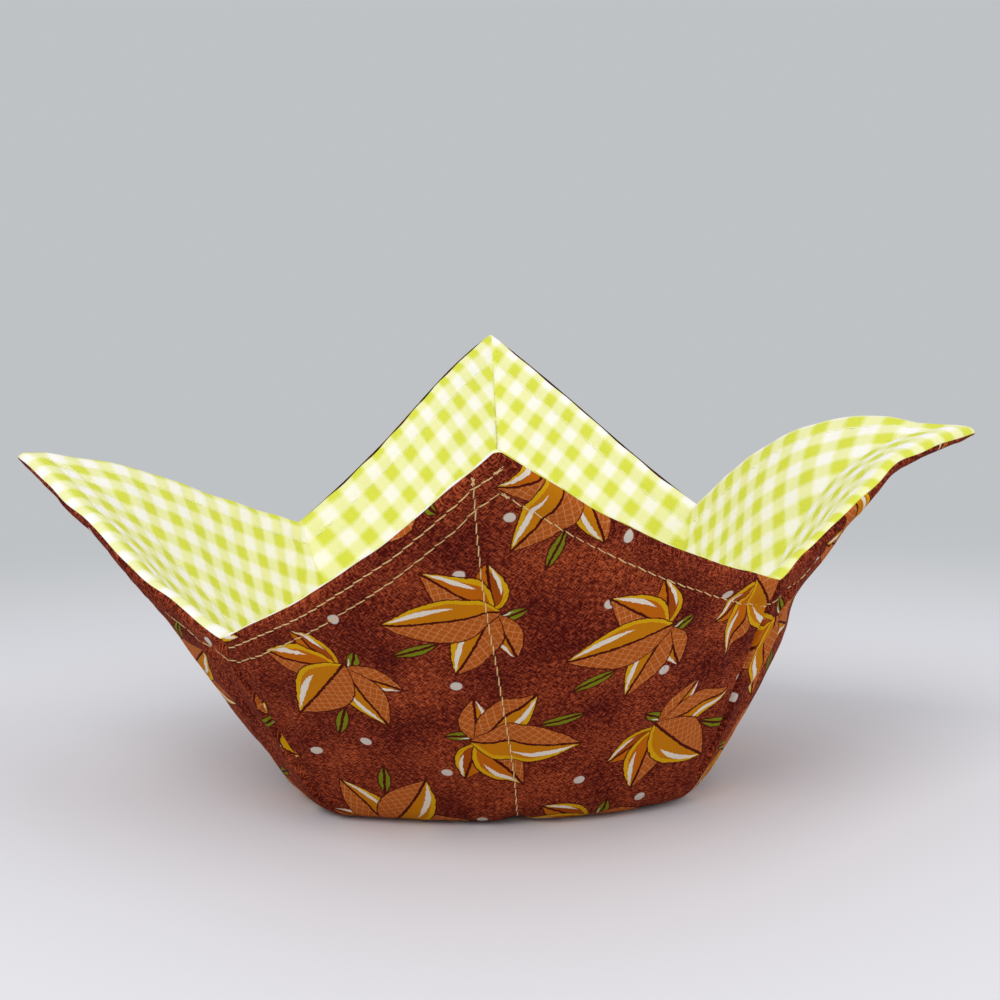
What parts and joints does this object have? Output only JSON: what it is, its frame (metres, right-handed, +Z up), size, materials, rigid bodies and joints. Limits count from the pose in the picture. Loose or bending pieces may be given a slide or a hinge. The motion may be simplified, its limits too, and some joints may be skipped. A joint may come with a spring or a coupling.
{
  "type": "microwave bowl cozy",
  "caption": "Quilted cotton bowl cozy with pointed corner flaps, a printed maroon outside and a lime gingham lining, used as a pot holder for a hot bowl.",
  "frame": {"origin": "under the middle of the flaps' box, on the surface that the cozy stands on", "axes": "+Z up, front flap towards -Y, right flap towards +X"},
  "size_m": [0.2509, 0.2324, 0.1135],
  "materials": {
    "printed_cotton": "woven printed cotton, matte",
    "gingham_cotton": "woven gingham cotton, matte",
    "cotton_batting": "needled cotton batting",
    "gold_thread": "twisted sewing thread",
    "pale_thread": "twisted sewing thread"
  },
  "bodies": {
    "root": {"outer_fabric": "printed_cotton", "outer_batting": "cotton_batting", "lining_batting": "cotton_batting", "lining_fabric": "gingham_cotton", "outer_topstitch": "gold_thread", "outer_closing_stitch": "gold_thread", "outer_quilting_front_to_back": "gold_thread", "outer_quilting_left_to_right": "gold_thread", "lining_topstitch": "pale_thread", "lining_closing_stitch": "pale_thread", "lining_quilting_front_to_back": "pale_thread", "lining_quilting_left_to_right": "pale_thread"}
  },
  "joints": []
}
